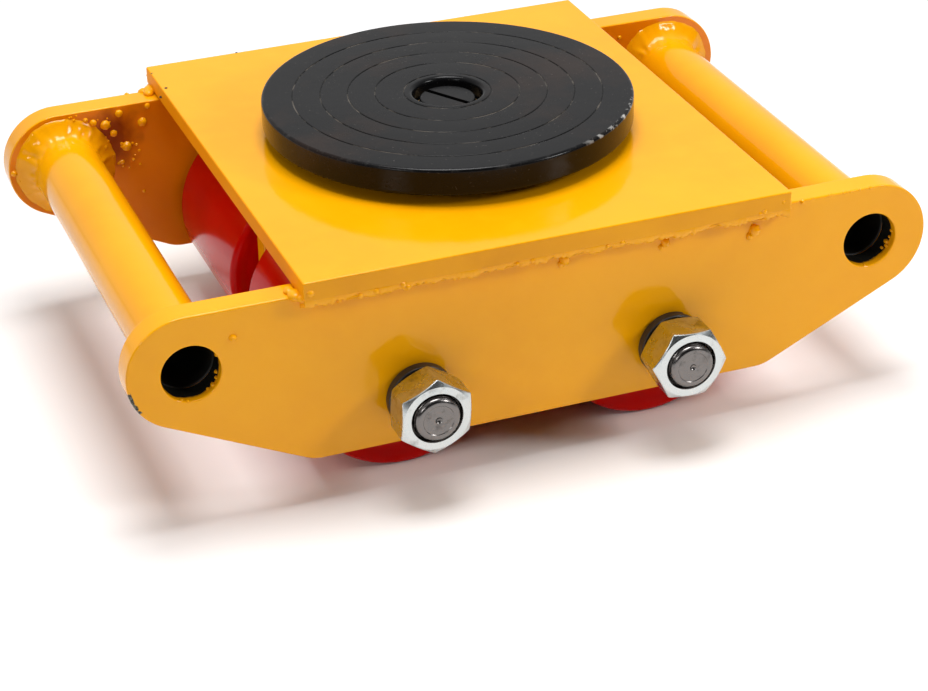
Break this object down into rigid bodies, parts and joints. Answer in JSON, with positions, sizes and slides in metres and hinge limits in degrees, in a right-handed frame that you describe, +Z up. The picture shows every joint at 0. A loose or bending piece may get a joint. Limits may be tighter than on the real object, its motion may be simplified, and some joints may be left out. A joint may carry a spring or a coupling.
{
  "type": "machinery dolly",
  "caption": "Low machinery-moving dolly: a welded steel chassis with tube cross bars carries broad rollers on bolted axles, and a round turntable cap swivels on top.",
  "frame": {"origin": "on the floor under the middle of the dolly, where the rollers stand at z = 0", "axes": "+X along the rolling direction and the longest side, +Y along the axles from front to rear, +Z up"},
  "size_m": [0.2878, 0.2194, 0.1004],
  "materials": {
    "yellow_paint": "glossy amber-yellow enamel over welded steel",
    "red_nylon": "smooth glossy red",
    "black_enamel": "semi-gloss black, turned grooves, lightly scuffed",
    "black_oxide_steel": "black oxide",
    "zinc_plate": "bright zinc plate",
    "bright_steel": "machined steel",
    "bronze": "plain bronze"
  },
  "bodies": {
    "chassis": {"axle_left": "bright_steel", "axle_nut_left_front": "zinc_plate", "axle_nut_left_rear": "zinc_plate", "axle_nut_right_front": "zinc_plate", "axle_nut_right_rear": "zinc_plate", "axle_right": "bright_steel", "bearing_sleeve_left_front": "bright_steel", "bearing_sleeve_left_rear": "bright_steel", "bearing_sleeve_right_front": "bright_steel", "bearing_sleeve_right_rear": "bright_steel", "centre_plate": "yellow_paint", "cross_tube_left": "yellow_paint", "cross_tube_right": "yellow_paint", "inner_race_left_front_inboard": "bright_steel", "inner_race_left_front_outboard": "bright_steel", "inner_race_left_rear_inboard": "bright_steel", "inner_race_left_rear_outboard": "bright_steel", "inner_race_right_front_inboard": "bright_steel", "inner_race_right_front_outboard": "bright_steel", "inner_race_right_rear_inboard": "bright_steel", "inner_race_right_rear_outboard": "bright_steel", "king_bolt": "bright_steel", "king_nut": "bright_steel", "king_washer": "bright_steel", "side_plate_front": "yellow_paint", "side_plate_rear": "yellow_paint", "spacer_inboard_left_front": "bright_steel", "spacer_inboard_left_rear": "bright_steel", "spacer_inboard_right_front": "bright_steel", "spacer_inboard_right_rear": "bright_steel", "spacer_outboard_left_front": "bright_steel", "spacer_outboard_left_rear": "bright_steel", "spacer_outboard_right_front": "bright_steel", "spacer_outboard_right_rear": "bright_steel", "spring_washer_left_front": "black_oxide_steel", "spring_washer_left_rear": "black_oxide_steel", "spring_washer_right_front": "black_oxide_steel", "spring_washer_right_rear": "black_oxide_steel", "thrust_race_lower": "bright_steel", "top_plate": "yellow_paint"},
    "roller_left_front": {"roller_left_front": "red_nylon", "outer_race_left_front_inboard": "bright_steel", "outer_race_left_front_outboard": "bright_steel"},
    "roller_left_rear": {"roller_left_rear": "red_nylon", "outer_race_left_rear_inboard": "bright_steel", "outer_race_left_rear_outboard": "bright_steel"},
    "roller_right_front": {"roller_right_front": "red_nylon", "outer_race_right_front_inboard": "bright_steel", "outer_race_right_front_outboard": "bright_steel"},
    "roller_right_rear": {"roller_right_rear": "red_nylon", "outer_race_right_rear_inboard": "bright_steel", "outer_race_right_rear_outboard": "bright_steel"},
    "cap": {"turntable_cap": "black_enamel", "cap_bush": "bronze", "thrust_race_upper": "bright_steel"},
    "ball_cage": {"thrust_ball_cage": "bronze"}
  },
  "joints": [
    {"name": "roller_left_front_spin", "type": "hinge", "parent": "chassis", "child": "roller_left_front", "pos_m": [-0.0458, -0.043, 0.035], "axis": [0, 1, 0], "continuous": true},
    {"name": "roller_left_rear_spin", "type": "hinge", "parent": "chassis", "child": "roller_left_rear", "pos_m": [-0.0458, 0.043, 0.035], "axis": [0, 1, 0], "continuous": true},
    {"name": "roller_right_front_spin", "type": "hinge", "parent": "chassis", "child": "roller_right_front", "pos_m": [0.0458, -0.043, 0.035], "axis": [0, 1, 0], "continuous": true},
    {"name": "roller_right_rear_spin", "type": "hinge", "parent": "chassis", "child": "roller_right_rear", "pos_m": [0.0458, 0.043, 0.035], "axis": [0, 1, 0], "continuous": true},
    {"name": "cap_turn", "type": "hinge", "parent": "chassis", "child": "cap", "pos_m": [0, 0, 0.0955], "axis": [0, 0, 1], "continuous": true},
    {"name": "ball_cage_turn", "type": "hinge", "parent": "chassis", "child": "ball_cage", "pos_m": [0, 0, 0.0911], "axis": [0, 0, 1], "continuous": true}
  ],
  "couplings": [
    {"joint": "ball_cage_turn", "follows": "cap_turn", "ratio": 0.5}
  ]
}
